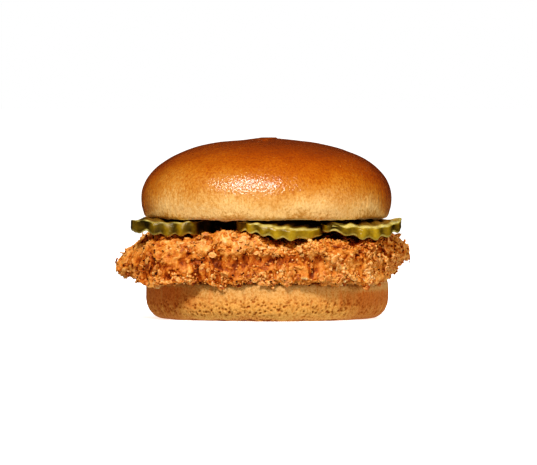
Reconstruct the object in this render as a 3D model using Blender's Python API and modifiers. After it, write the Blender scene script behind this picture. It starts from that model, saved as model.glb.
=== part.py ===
"""A chicken burger: a fried fillet and three crinkle-cut pickle slices in a glazed round bun.

Metres, +Z up. The origin is the middle of the flat base that the burger stands on, on the bun's axis.
+X runs along the fillet's longer side, and -Y is the side where all three slices show.
The pieces are stacked as on a counter: each one is lowered until it rests on those below it.
"""

import math

import bmesh
import bpy
from mathutils import Matrix, Vector
from mathutils.bvhtree import BVHTree

MM = 0.001
GAP = 0.3 * MM  # the clearance left between pieces that touch

# Heel: the bottom half of the bun.
HEEL_RADIUS = 48.7 * MM
HEEL_HEIGHT = 16.2 * MM
HEEL_FOOT = (7.2 * MM, 8.0 * MM)  # how far the rounded foot reaches in, and up
HEEL_SHOULDER = (2.2 * MM, 2.6 * MM)  # the softer rounding under the cut face
HEEL_STEPS = (3, 5)  # faces down the shoulder, and down the foot
HEEL_OFFSET = (0.3 * MM, 0.0)

# Crown: the domed top half of the bun.
CROWN_RADIUS = 49.9 * MM
CROWN_DOME = 24.1 * MM  # from the widest level up to the top
CROWN_DOME_POWER = 2.2  # a superellipse, a little fuller than an ellipse
CROWN_SKIRT = (3.6 * MM, 7.2 * MM)  # how far the skirt turns in, and its height
CROWN_STEPS = (18, 4)  # faces down the dome, and down the skirt
CROWN_OFFSET = (-0.2 * MM, 0.0)
# The dough's fold on top, where it was pinched shut: a low lip with a notch at its end.
CROWN_LIP = (0.0, -1.0 * MM, 6.5 * MM, 0.7 * MM)  # x, y, half width, height
CROWN_NOTCH = (7.5 * MM, -2.0 * MM, 3.6 * MM, -0.8 * MM)
BUN_STEPS = 48  # faces round the axis
# Waves round a bun half, as (waves, share of the radius, phase): no baked bun is a true circle.
CROWN_WAVES = ((2, 0.004, 0.4), (3, 0.005, 1.9), (5, 0.003, 4.1))
HEEL_WAVES = ((2, 0.005, 2.6), (3, 0.004, 0.3), (4, 0.004, 5.0))

# Fillet: a plump slab with a rounded rim, whose outline, top and underside swell in named places.
FILLET_RADIUS = 52.0 * MM
FILLET_STEPS = (96, 22)  # round the outline, and from pole to pole
FILLET_RIM_SHARE = 0.68  # of the steps from the outermost line to a pole, those spent on the rounded rim
FILLET_THICKNESS = 17.4 * MM
# The rim, as (at the -X end, at the +X end): thick and steep above at +X, hanging full below at -X.
FILLET_EDGE_HEIGHT = (6.4 * MM, 9.0 * MM)  # of the outermost line, above the level underside
FILLET_TOP_BAND = (16.0 * MM, 10.0 * MM)  # how far in the rounding of the top reaches
FILLET_TOP_POWER = (1.7, 2.6)
FILLET_UNDER_BAND = (10.0 * MM, 9.5 * MM)
FILLET_UNDER_POWER = (2.4, 1.4)
# Swellings of the outline, as (direction in degrees, half width in degrees, height).
FILLET_LOBES = (
    (180, 30, 8.0 * MM),
    (222, 20, 6.2 * MM),
    (242, 6, -1.6 * MM),
    (292, 13, 2.8 * MM),
    (322, 16, 4.5 * MM),
    (0, 24, 6.4 * MM),
    (262, 12, -1.2 * MM),
    (52, 17, 2.2 * MM),
    (100, 14, -1.6 * MM),
    (132, 16, 2.6 * MM),
)
# Hills and hollows of the top, as (x, y, half width, height). The first two are the thick of the breast.
FILLET_HILLS = (
    (3 * MM, 20 * MM, 20 * MM, 5.1 * MM),
    (-20 * MM, 21 * MM, 14 * MM, 3.3 * MM),
    (-20 * MM, -42 * MM, 8 * MM, 3.0 * MM),
    (-12 * MM, -45 * MM, 5 * MM, 1.8 * MM),
    (38 * MM, -33 * MM, 13 * MM, -1.9 * MM),
    (13 * MM, -40 * MM, 13 * MM, -2.3 * MM),
    (30 * MM, 26 * MM, 13 * MM, 2.6 * MM),
)
# Places past the heel's edge where the fillet hangs down, as (direction, half width in degrees, drop).
FILLET_DROOPS = ((180, 24, 2.2 * MM), (222, 20, 3.2 * MM), (130, 20, 1.5 * MM))
FILLET_DROOP_START = 50.2 * MM
FILLET_DROOP_WIDTH = 5.0 * MM
# The long hollow between two ridges of breading in the front, as (direction, half width in degrees).
FILLET_GROOVE = (262, 34)
FILLET_GROOVE_HEIGHT = 7.6 * MM
FILLET_GROOVE_SPAN = 2.6 * MM
FILLET_GROOVE_DEPTH = 1.9 * MM
# Lumps of breading all round the rim: waves that lean, as (waves in a turn, waves from the underside to
# the top, height, phase). Where they cross they leave rounded knobs, 8 to 15 mm apart.
FILLET_LUMPS = (
    (9, 0.6, 0.55 * MM, 0.8),
    (13, -1.1, 0.50 * MM, 2.2),
    (19, 1.3, 0.45 * MM, 4.4),
    (24, -0.8, 0.35 * MM, 1.1),
)

# Pickle slices: discs of cucumber between two parallel wavy cuts.
SLICE_THICKNESS = 3.7 * MM
CRINKLE_PITCH = 5.4 * MM
CRINKLE_DEPTH = 1.4 * MM  # from crest to valley
CRINKLE_FACETS = 6  # faces to one wave
SLICE_ROWS = 5  # faces along a crest, so that a slice can bend
SKIN_SIDES = 40
SLAB_MARGIN = 1.06  # a slab before it is cut round, against the slice's radius
# Each slice: name, centre, half widths, direction of the wave in degrees, and the places where its edge
# bends up or down, as (direction, half width in degrees, height).
SLICES = (
    (
        "pickle_left",
        (-37.2 * MM, -17.5 * MM),
        (16.6 * MM, 15.9 * MM),
        4,
        ((180, 32, 0.8 * MM), (265, 35, -0.6 * MM)),
    ),
    (
        "pickle_centre",
        (5.2 * MM, -33.2 * MM),
        (17.4 * MM, 16.6 * MM),
        -14,
        ((275, 40, -2.2 * MM), (330, 34, -1.2 * MM)),
    ),
    (
        "pickle_right",
        (37.2 * MM, -19.6 * MM),
        (17.0 * MM, 16.6 * MM),
        12,
        ((285, 34, -2.7 * MM), (229, 20, 0.6 * MM), (0, 28, 1.3 * MM)),
    ),
)

# Finishes, as (linear colour, roughness).
HEEL_CRUST = ((0.80, 0.42, 0.13), 0.60)
CROWN_CRUST = ((0.62, 0.22, 0.03), 0.32)
BREADING = ((0.68, 0.27, 0.06), 0.55)
PICKLE = ((0.25, 0.24, 0.03), 0.22)


def clear_scene():
    for obj in list(bpy.data.objects):
        bpy.data.objects.remove(obj)


def new_collection(name):
    collection = bpy.data.collections.new(name)
    bpy.context.scene.collection.children.link(collection)
    return collection


def material(name, colour, roughness):
    made = bpy.data.materials.new(name)
    made.use_nodes = True
    shader = made.node_tree.nodes["Principled BSDF"]
    shader.inputs["Base Color"].default_value = (*colour, 1)
    shader.inputs["Roughness"].default_value = roughness
    shader.inputs["Metallic"].default_value = 0
    made.diffuse_color = (*colour, 1)
    return made


def baked(obj):
    """The object's mesh with its modifiers applied, as a bmesh. The object itself is removed."""
    graph = bpy.context.evaluated_depsgraph_get()
    mesh = bpy.data.meshes.new_from_object(obj.evaluated_get(graph))
    bm = bmesh.new()
    bm.from_mesh(mesh)
    bpy.data.objects.remove(obj)
    bpy.data.meshes.remove(mesh)
    return bm


def object_from(bm, name, collection, finish=None, sharp_degrees=40):
    """A named object that holds the bmesh, shaded smooth except across its sharp edges."""
    mesh = bpy.data.meshes.new(name)
    bmesh.ops.recalc_face_normals(bm, faces=bm.faces)
    bm.to_mesh(mesh)
    bm.free()
    obj = bpy.data.objects.new(name, mesh)
    collection.objects.link(obj)
    if finish:
        mesh.materials.append(finish)
        mesh.shade_smooth()
        mesh.set_sharp_from_angle(angle=math.radians(sharp_degrees))
    return obj


def superellipse(centre, radii, start, end, steps, power=2.0):
    """Points of a superellipse from one angle to another, in degrees, as (distance from the axis, height)."""
    points = []
    for step in range(steps + 1):
        angle = math.radians(start + (end - start) * step / steps)
        across, up = math.cos(angle), math.sin(angle)
        points.append((
            centre[0] + radii[0] * math.copysign(abs(across) ** (2 / power), across),
            centre[1] + radii[1] * math.copysign(abs(up) ** (2 / power), up),
        ))
    return points


def waves(angle, terms):
    """A sum of waves round the axis: each term is (waves in a turn, height, phase)."""
    return sum(height * math.cos(count * angle + phase) for count, height, phase in terms)


def bump(distance, half_width):
    """A smooth hill, 1 in its middle and under 0.02 at twice its half width."""
    return math.exp(-((distance / half_width) ** 2))


def hill_height(x, y, hills):
    """The sum of hills and hollows at a place: each is (x, y, half width, height)."""
    return sum(
        height * bump(math.hypot(x - at_x, y - at_y), width) for at_x, at_y, width, height in hills
    )


def edge_height(angle, places):
    """The sum of swellings in a direction: each is (direction, half width, height), in degrees."""
    return sum(height * bump(turn_between(angle, degrees), width) for degrees, width, height in places)


def turn_between(angle, degrees):
    """The angle between a direction in radians and one in degrees, in degrees from 0 to 180."""
    return abs((math.degrees(angle) - degrees + 180) % 360 - 180)


def turned(name, profile, collection):
    """A bmesh of the profile turned round the Z axis. The profile runs from the top to the bottom."""
    mesh = bpy.data.meshes.new(name)
    edges = [(i, i + 1) for i in range(len(profile) - 1)]
    mesh.from_pydata([(across, 0, up) for across, up in profile], edges, [])
    obj = bpy.data.objects.new(name, mesh)
    collection.objects.link(obj)
    screw = obj.modifiers.new("turn", "SCREW")
    screw.steps = screw.render_steps = BUN_STEPS
    screw.use_merge_vertices = True
    screw.merge_threshold = 0.02 * MM
    return baked(obj)


def heel_profile():
    foot_in, foot_up = HEEL_FOOT
    shoulder_in, shoulder_down = HEEL_SHOULDER
    shoulder_steps, foot_steps = HEEL_STEPS
    shoulder_centre = (HEEL_RADIUS - shoulder_in, HEEL_HEIGHT - shoulder_down)
    shoulder = superellipse(shoulder_centre, HEEL_SHOULDER, 90, 0, shoulder_steps)
    foot = superellipse((HEEL_RADIUS - foot_in, foot_up), HEEL_FOOT, 0, -90, foot_steps)
    cut_face = [(0, HEEL_HEIGHT), (HEEL_RADIUS / 2, HEEL_HEIGHT)]
    return [*cut_face, *shoulder, *foot, (0, 0)]


def make_heel(collection, finish, workshop):
    bm = turned("heel_blank", heel_profile(), workshop)
    for vert in bm.verts:
        angle = math.atan2(vert.co.y, vert.co.x)
        swell = 1 + waves(angle, HEEL_WAVES)
        vert.co.x = vert.co.x * swell + HEEL_OFFSET[0]
        vert.co.y = vert.co.y * swell + HEEL_OFFSET[1]
    return object_from(bm, "bun_heel", collection, finish)


def crown_profile():
    skirt_in, skirt_height = CROWN_SKIRT
    dome_steps, skirt_steps = CROWN_STEPS
    dome_radii = (CROWN_RADIUS, CROWN_DOME)
    dome = superellipse((0, skirt_height), dome_radii, 90, 0, dome_steps, CROWN_DOME_POWER)
    skirt_centre = (CROWN_RADIUS - skirt_in, skirt_height)
    skirt = superellipse(skirt_centre, CROWN_SKIRT, 0, -90, skirt_steps)
    return [(0, CROWN_DOME + skirt_height), *dome[1:], *skirt[1:], (CROWN_RADIUS / 2, 0), (0, 0)]


def make_crown(collection, finish, workshop):
    """The dome, a little out of round, with the pinched fold near its top. Its cut face is at Z 0."""
    bm = turned("crown_blank", crown_profile(), workshop)
    for vert in bm.verts:
        angle = math.atan2(vert.co.y, vert.co.x)
        swell = 1 + waves(angle, CROWN_WAVES)
        if vert.co.z > CROWN_SKIRT[1]:
            vert.co.z += hill_height(vert.co.x, vert.co.y, (CROWN_LIP, CROWN_NOTCH))
        vert.co.x = vert.co.x * swell + CROWN_OFFSET[0]
        vert.co.y = vert.co.y * swell + CROWN_OFFSET[1]
    return object_from(bm, "bun_crown", collection, finish)


def fillet_outline(angle):
    """How far the rim is from the axis in this direction."""
    return FILLET_RADIUS + edge_height(angle, FILLET_LOBES)


def fillet_underside(x, y):
    """Level where the heel carries it, and hanging down past the heel's edge."""
    past_edge = (math.hypot(x, y) - FILLET_DROOP_START) / FILLET_DROOP_WIDTH
    eased = min(max(past_edge, 0), 1)
    return -edge_height(math.atan2(y, x), FILLET_DROOPS) * eased


def between_ends(angle, values):
    """A value that goes from the one at the -X end to the one at the +X end round the outline."""
    share = (1 + math.cos(angle)) / 2
    return values[0] * (1 - share) + values[1] * share


def fillet_lump(angle, z):
    """How far the breading stands out at this direction and height of the rim."""
    rise = 2 * math.pi * z / FILLET_THICKNESS
    return sum(
        height * math.cos(count * angle + lean * rise + phase)
        for count, lean, height, phase in FILLET_LUMPS
    )


def fillet_hollow(angle, z):
    """How far the rim is drawn in between its upper and its lower ridge."""
    direction, half_width = FILLET_GROOVE
    along = bump(turn_between(angle, direction), half_width)
    return FILLET_GROOVE_DEPTH * along * bump(z - FILLET_GROOVE_HEIGHT, FILLET_GROOVE_SPAN)


def fillet_point(direction):
    """Where a point of a unit ball goes on the fillet.

    The ball's equator becomes the outermost line. The latitudes next to it round the rim, and the
    rest spread over the nearly level top and underside.
    """
    angle = math.atan2(direction.y, direction.x)
    latitude = math.asin(max(-1.0, min(1.0, direction.z)))
    upper = latitude > 0
    to_pole = abs(latitude) / (math.pi / 2)
    reach = fillet_outline(angle)
    band = between_ends(angle, FILLET_TOP_BAND if upper else FILLET_UNDER_BAND)
    power = between_ends(angle, FILLET_TOP_POWER if upper else FILLET_UNDER_POWER)
    turn = min(to_pole / FILLET_RIM_SHARE, 1) * math.pi / 2
    inset = band * (1 - math.cos(turn) ** (2 / power))
    if to_pole > FILLET_RIM_SHARE:
        inset += (reach - band) * (to_pole - FILLET_RIM_SHARE) / (1 - FILLET_RIM_SHARE)
    away = reach - inset
    x, y = away * math.cos(angle), away * math.sin(angle)
    face = FILLET_THICKNESS + hill_height(x, y, FILLET_HILLS) if upper else fillet_underside(x, y)
    edge = between_ends(angle, FILLET_EDGE_HEIGHT)
    z = edge + math.sin(turn) ** (2 / power) * (face - edge)
    at_rim = max(1 - inset / band, 0)
    stand_out = fillet_lump(angle, z) * at_rim**0.5 - fillet_hollow(angle, z) * at_rim
    if upper:
        z += fillet_lump(angle, z) * math.sin(turn) * at_rim**0.5
    away += stand_out * math.cos(turn)
    return Vector((away * math.cos(angle), away * math.sin(angle), z))


def make_fillet(collection, finish):
    bm = bmesh.new()
    bmesh.ops.create_uvsphere(
        bm, u_segments=FILLET_STEPS[0], v_segments=FILLET_STEPS[1], radius=1
    )
    for vert in bm.verts:
        vert.co = fillet_point(vert.co.normalized())
    return object_from(bm, "chicken_fillet", collection, finish)


def crinkled_slab(radius, wave_degrees):
    """A slab with two parallel wavy faces, a little wider than the slice that is cut from it."""
    half = radius * SLAB_MARGIN
    across = round(2 * half / CRINKLE_PITCH * CRINKLE_FACETS)
    bm = bmesh.new()
    bmesh.ops.create_grid(bm, x_segments=across, y_segments=SLICE_ROWS, size=half)
    for vert in bm.verts:
        vert.co.z = CRINKLE_DEPTH / 2 * math.cos(2 * math.pi * vert.co.x / CRINKLE_PITCH)
    grown = bmesh.ops.extrude_face_region(bm, geom=bm.faces[:], use_keep_orig=True)
    top = [item for item in grown["geom"] if isinstance(item, bmesh.types.BMVert)]
    bmesh.ops.translate(bm, verts=top, vec=(0, 0, SLICE_THICKNESS))
    turn = Matrix.Rotation(math.radians(wave_degrees), 4, "Z")
    bmesh.ops.transform(bm, matrix=turn, verts=bm.verts)
    return bm


def cucumber(half_widths):
    """A stretch of the whole cucumber, upright, longer than any slice is thick."""
    bm = bmesh.new()
    bmesh.ops.create_cone(
        bm, cap_ends=True, segments=SKIN_SIDES, radius1=1, radius2=1, depth=6 * SLICE_THICKNESS
    )
    bmesh.ops.scale(bm, verts=bm.verts, vec=(*half_widths, 1))
    return bm


def make_slice(spec, collection, finish, workshop):
    """What two wavy cuts leave of the cucumber, then bent as it lies in the burger."""
    name, centre, half_widths, wave_degrees, bends = spec
    slab = object_from(crinkled_slab(max(half_widths), wave_degrees), name + "_slab", workshop)
    skin = object_from(cucumber(half_widths), name + "_skin", workshop)
    skin.display_type = "WIRE"
    skin.hide_render = True
    cut = slab.modifiers.new("cut from the cucumber", "BOOLEAN")
    cut.operation = "INTERSECT"
    cut.object = skin
    bm = baked(slab)
    bpy.data.objects.remove(skin)
    for vert in bm.verts:
        x, y = vert.co.x, vert.co.y
        outward = math.hypot(x / half_widths[0], y / half_widths[1])
        vert.co.z += edge_height(math.atan2(y, x), bends) * outward**2
    bmesh.ops.translate(bm, verts=bm.verts, vec=(*centre, 0))
    return object_from(bm, name, collection, finish)


def tree_of(obj):
    bm = bmesh.new()
    bm.from_mesh(obj.data)
    bm.transform(obj.matrix_world)
    tree = BVHTree.FromBMesh(bm)
    bm.free()
    return tree


def corners(obj):
    return [obj.matrix_world @ vert.co for vert in obj.data.vertices]


def clearance(upper, lower):
    """The least height between two pieces, measured straight down from one and straight up from the other."""
    far = 1.0
    gaps = []
    for points, other, way in ((corners(upper), lower, -1), (corners(lower), upper, 1)):
        tree = tree_of(other)
        for point in points:
            start = Vector((point.x, point.y, point.z - way * far))
            hit = tree.ray_cast(start, Vector((0, 0, way)))[0]
            if hit is not None:
                gaps.append((point.z - hit.z) * -way)
    return min(gaps)


def lower_onto(upper, supports):
    """Brings a piece down, or up, until it is GAP above the first support that it meets."""
    upper.location.z += far_above(supports)
    bpy.context.view_layer.update()
    upper.location.z -= min(clearance(upper, lower) for lower in supports) - GAP
    bpy.context.view_layer.update()


def far_above(supports):
    return max(point.z for obj in supports for point in corners(obj)) + 0.1


def main():
    clear_scene()
    burger = new_collection("chicken_burger")
    workshop = new_collection("workshop")

    heel = make_heel(burger, material("heel_crust", *HEEL_CRUST), workshop)
    fillet = make_fillet(burger, material("breading", *BREADING))
    pickle = material("pickle", *PICKLE)
    slices = [make_slice(spec, burger, pickle, workshop) for spec in SLICES]
    crown = make_crown(burger, material("crown_crust", *CROWN_CRUST), workshop)

    lower_onto(fillet, [heel])
    for piece in slices:
        lower_onto(piece, [fillet])
    lower_onto(crown, [fillet, *slices])
    for obj in (heel, fillet, *slices, crown):
        heights = [point.z / MM for point in corners(obj)]
        print(f"{obj.name}: Z {min(heights):.2f} to {max(heights):.2f} mm")
    bpy.data.collections.remove(workshop)


main()
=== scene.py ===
# %% [markdown]
# # A crispy chicken burger
# The burger is a cut bun, a fried fillet in craggy breading and three crinkle-cut pickle slices.
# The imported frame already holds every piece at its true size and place, as plain solids.
# This lesson dresses those solids: each one is read with rays, turned into a fine skin, given its
# relief, and painted with a procedural material. Nothing is moved, so the skins fit on their own.

# %% Load the frame and keep its box
import math
from itertools import combinations

import bpy
import numpy as np
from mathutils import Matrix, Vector
from mathutils.bvhtree import BVHTree


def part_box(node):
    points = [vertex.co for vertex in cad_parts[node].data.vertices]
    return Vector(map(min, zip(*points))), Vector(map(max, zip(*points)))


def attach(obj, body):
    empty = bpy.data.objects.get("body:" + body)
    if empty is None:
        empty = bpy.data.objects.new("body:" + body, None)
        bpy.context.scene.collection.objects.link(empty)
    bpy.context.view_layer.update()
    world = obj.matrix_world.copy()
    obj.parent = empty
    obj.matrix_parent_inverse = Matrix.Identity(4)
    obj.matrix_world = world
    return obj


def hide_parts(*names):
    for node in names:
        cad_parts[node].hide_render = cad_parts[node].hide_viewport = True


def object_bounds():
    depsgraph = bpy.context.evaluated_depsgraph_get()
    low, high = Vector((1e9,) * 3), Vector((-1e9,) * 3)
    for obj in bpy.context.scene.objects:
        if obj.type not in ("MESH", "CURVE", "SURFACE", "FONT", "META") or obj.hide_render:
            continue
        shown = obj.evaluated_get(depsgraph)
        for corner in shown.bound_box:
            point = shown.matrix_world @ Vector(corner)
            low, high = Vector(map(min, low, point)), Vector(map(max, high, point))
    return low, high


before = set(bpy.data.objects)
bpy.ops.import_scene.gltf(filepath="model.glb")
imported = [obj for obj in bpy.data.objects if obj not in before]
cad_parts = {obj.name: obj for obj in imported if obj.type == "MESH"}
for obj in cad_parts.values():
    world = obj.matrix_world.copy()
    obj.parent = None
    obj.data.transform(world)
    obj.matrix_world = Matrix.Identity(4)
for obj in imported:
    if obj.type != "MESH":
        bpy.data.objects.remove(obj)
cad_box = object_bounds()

MM = 0.001
print("CAD box in mm:", [[round(value / MM, 1) for value in corner] for corner in cad_box])

# %% [markdown]
# ## Reading a solid
# A food surface is too fine to model by hand, and the solid under it already has the right form.
# One way would be to subdivide the solid, but its long triangles make uneven detail.
# Rays are better: seen from the upright axis, every piece of a burger is a round cake, so a fan of
# half slices, each walked from the middle of the underside to the middle of the top, covers it
# with a neat grid of points.

# %% Walk a solid in half slices
FLAT_RAYS = 70
EDGE_RAYS = 150


def solid_tree(node):
    """The triangles of a CAD node in millimetres, ready for rays."""
    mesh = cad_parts[node].data
    corners = [vertex.co / MM for vertex in mesh.vertices]
    faces = [tuple(polygon.vertices) for polygon in mesh.polygons]
    return BVHTree.FromPolygons(corners, faces)


def node_box(node):
    """Lowest and highest corner of a CAD node, in millimetres."""
    return [np.array(corner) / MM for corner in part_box(node)]


def walk(points, weights, count):
    """Spreads count points evenly along a line, where a stretch's weight is its share of them."""
    steps = np.linalg.norm(np.diff(points, axis=0), axis=1) * weights
    reach = np.concatenate([[0], np.cumsum(steps)])
    stops = np.linspace(0, reach[-1], count)
    return np.column_stack([np.interp(stops, reach, points[:, axis]) for axis in range(2)])


def scan_round(node, columns, rows, margin, thrift=(1.0, 1.0)):
    """The skin of a round solid as a grid of columns x rows points.

    margin is how far inside the outline the edge rays start, and thrift thins the points out
    under and on top of the piece, where other pieces hide it."""
    tree = solid_tree(node)
    low, high = node_box(node)
    middle = (low + high) / 2
    down, up = Vector((0, 0, -1)), Vector((0, 0, 1))
    clear = 5.0

    def top_at(x, y):
        return tree.ray_cast(Vector((x, y, high[2] + clear)), down)[0].z

    def bottom_at(x, y):
        return tree.ray_cast(Vector((x, y, low[2] - clear)), up)[0].z

    centre_level = (top_at(*middle[:2]) + bottom_at(*middle[:2])) / 2
    tilts = np.linspace(-math.pi / 2, math.pi / 2, EDGE_RAYS)
    grid = np.empty((columns, rows, 3))
    for column in range(columns):
        turn = 2 * math.pi * column / columns
        out = Vector((math.cos(turn), math.sin(turn), 0))
        start = Vector((middle[0], middle[1], centre_level))
        inner = tree.ray_cast(start, out)[3] - margin
        radii = np.linspace(0.01 * inner, inner, FLAT_RAYS)
        places = [(middle[0] + out.x * r, middle[1] + out.y * r) for r in radii]
        under = np.array([(r, bottom_at(*place)) for r, place in zip(radii, places)])
        over = np.array([(r, top_at(*place)) for r, place in zip(radii, places)])
        level = (under[-1, 1] + over[-1, 1]) / 2
        hub = Vector((*places[-1], level))
        edge = []
        for tilt in tilts[1:-1]:
            way = out * math.cos(tilt) + up * math.sin(tilt)
            reach = tree.ray_cast(hub, way)[3]
            edge.append((inner + reach * math.cos(tilt), level + reach * math.sin(tilt)))
        line = np.concatenate([under, edge, over[::-1]])
        weights = np.ones(len(line) - 1)
        weights[: FLAT_RAYS - 1] = thrift[0]
        weights[-(FLAT_RAYS - 1):] = thrift[1]
        line = walk(line, weights, rows)
        grid[column, :, 0] = middle[0] + out.x * line[:, 0]
        grid[column, :, 1] = middle[1] + out.y * line[:, 0]
        grid[column, :, 2] = line[:, 1]
    print(f"{node}: {columns} half slices of {rows} points")
    return grid


# %% [markdown]
# ## Smoothing and relief
# The solid is made of flat facets, and baked or fried food has none. A Gaussian blur along both
# directions of the grid melts them away. Relief then pushes each point along its own normal.

# %% Blur a grid and find its normals
def blur(grid, spread, axis):
    """Gaussian smoothing, spread in grid steps. Axis 0 is a closed ring and axis 1 an open row."""
    count = grid.shape[axis]
    field = grid if axis == 0 else np.concatenate([grid, np.flip(grid, axis)], axis)
    waves = np.fft.rfftfreq(field.shape[axis])
    keep = np.exp(-2 * (math.pi * spread * waves) ** 2)
    shape = [1] * field.ndim
    shape[axis] = -1
    soft = np.fft.irfft(np.fft.rfft(field, axis=axis) * keep.reshape(shape), field.shape[axis], axis)
    return np.take(soft, range(count), axis)


def soften(grid, around, along):
    return blur(blur(grid, around, 0), along, 1)


def normals_of(grid):
    """Outward unit normals of a grid of skin points."""
    around = np.roll(grid, -1, 0) - np.roll(grid, 1, 0)
    along = np.gradient(grid, axis=1)
    normals = np.cross(around, along)
    return normals / (np.linalg.norm(normals, axis=-1, keepdims=True) + 1e-12)


# %% [markdown]
# Relief needs irregular fields. Two are enough for food: a cloud, soft and rolling, for lumps and
# stains, and grains, one rounded cell beside the next, for crumbs and pores. Both are worked out
# for all points at once from a whole-number hash, so they are quick and always the same.

# %% Clouds and grains
def dice(cells, seed):
    """A fixed chance value from 0 to 1 for each whole-number cell of space."""
    x, y, z = (cells[..., axis].astype(np.int64).astype(np.uint32) for axis in range(3))
    mixed = x * np.uint32(73856093) ^ y * np.uint32(19349663) ^ z * np.uint32(83492791)
    mixed = (mixed ^ np.uint32(seed * 7919 + 17)) * np.uint32(2654435761)
    mixed = (mixed ^ mixed >> np.uint32(15)) * np.uint32(2246822519)
    mixed = (mixed ^ mixed >> np.uint32(13)) * np.uint32(3266489917)
    return (mixed ^ mixed >> np.uint32(16)) / 4294967295.0


def cloud(points, size, seed, octaves=1):
    """Rolling noise from about -1 to 1, with features of the given size in millimetres."""
    total, height = np.zeros(points.shape[:-1]), 1.0
    for octave in range(octaves):
        place = points / size
        base = np.floor(place)
        part = place - base
        ease = part ** 3 * (part * (part * 6 - 15) + 10)
        for corner in np.ndindex(2, 2, 2):
            offset = np.array(corner)
            weight = np.prod(np.where(offset, ease, 1 - ease), axis=-1)
            slope = sum(
                (dice(base + offset, seed + 31 * axis + 101 * octave) * 2 - 1)
                * (part[..., axis] - offset[axis])
                for axis in range(3)
            )
            total += height * weight * slope * 1.6
        size, height = size / 2, height / 2
    return total


def grains(points, size, seed):
    """Distance to the nearest grain centre, in cells, the grain's chance value, and its tilted height."""
    place = points / size
    base = np.floor(place)
    first = np.full(points.shape[:-1], 9.0)
    chance, tilted = np.zeros_like(first), np.zeros_like(first)
    for offset in np.ndindex(3, 3, 3):
        cell = base + np.array(offset) - 1
        away = [place[..., axis] - cell[..., axis] - dice(cell, seed + 57 * axis) for axis in range(3)]
        gap = np.sqrt(away[0] ** 2 + away[1] ** 2 + away[2] ** 2)
        nearer = gap < first
        lean = sum((dice(cell, seed + 400 + 13 * axis) * 2 - 1) * away[axis] for axis in range(3))
        tilted = np.where(nearer, lean, tilted)
        chance = np.where(nearer, dice(cell, seed + 999), chance)
        first = np.where(nearer, gap, first)
    return first, chance, tilted


def ease_between(values, start, end):
    """0 before start, 1 after end, and a soft step between."""
    part = np.clip((values - start) / (end - start), 0, 1)
    return part * part * (3 - 2 * part)


# %% [markdown]
# ## From points to a piece
# A grid becomes a closed mesh: four-sided faces between neighbours, and a fan at each pole.
# What the maker knows about a point, such as how brown it is or how deep in a crevice it lies,
# is stored with the mesh as an attribute, and the material reads it there.

# %% Make a mesh piece from points
def mesh_piece(name, points, faces, finish, traits):
    """A smooth mesh object from millimetre points, riding on the burger's only body."""
    mesh = bpy.data.meshes.new(name)
    mesh.from_pydata((points * MM).tolist(), [], faces)
    mesh.polygons.foreach_set("use_smooth", np.ones(len(mesh.polygons), dtype=bool))
    for trait, values in traits.items():
        layer = mesh.attributes.new(trait, "FLOAT", "POINT")
        layer.data.foreach_set("value", values.astype(np.float32).ravel())
    mesh.materials.append(finish)
    mesh.update()
    piece = bpy.data.objects.new(name, mesh)
    bpy.context.scene.collection.objects.link(piece)
    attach(piece, "root")
    triangles = sum(len(face) - 2 for face in faces)
    print(f"{name}: {len(points)} points, {triangles} triangles")
    return piece


def skin_faces(columns, rows):
    """Faces of a closed skin whose points are numbered column by column, with two poles last."""
    here = np.arange(columns)[:, None] * rows + np.arange(rows - 1)[None, :]
    there = (np.arange(columns)[:, None] + 1) % columns * rows + np.arange(rows - 1)[None, :]
    quads = np.stack([here, there, there + 1, here + 1], axis=-1).reshape(-1, 4).tolist()
    south, north = columns * rows, columns * rows + 1
    fans = []
    for column in range(columns):
        beside = (column + 1) % columns
        fans.append((south, beside * rows, column * rows))
        fans.append((north, column * rows + rows - 1, beside * rows + rows - 1))
    return quads + fans


BURGER_LOW, BURGER_HIGH = (np.array(corner) / MM for corner in cad_box)


BOX_KNEE = np.array([1.4, 1.0, 0.0])


def inside_box(points):
    """Eases points back inside the whole burger's box, so that its real size never grows."""
    low, high = BURGER_LOW + BOX_KNEE, BURGER_HIGH - BOX_KNEE
    kept = np.clip(points, low, high)
    past = points - kept
    knee = np.maximum(BOX_KNEE, 1e-6)
    return kept + np.sign(past) * knee * (1 - np.exp(-np.abs(past) / knee))


def skin_piece(name, grid, finish, traits):
    """A closed skin piece from a grid of half slices."""
    columns, rows, _ = grid.shape
    poles = np.stack([grid[:, 0].mean(0), grid[:, -1].mean(0)])
    points = inside_box(np.concatenate([grid.reshape(-1, 3), poles]))
    full = {}
    for trait, values in traits.items():
        ends = [values[:, 0].mean(), values[:, -1].mean()]
        full[trait] = np.concatenate([values.ravel(), ends])
    return mesh_piece(name, points, skin_faces(columns, rows), finish, full)


# %% [markdown]
# ## Mixing finishes
# Each finish is one Principled shader with layers in front of it: noise fields at real sizes,
# colour ramps, and bumps. This small helper keeps the recipes short. Noise is laid out in object
# space, in metres, so a field of 2 mm has a scale of 1 / 0.002.

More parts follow.
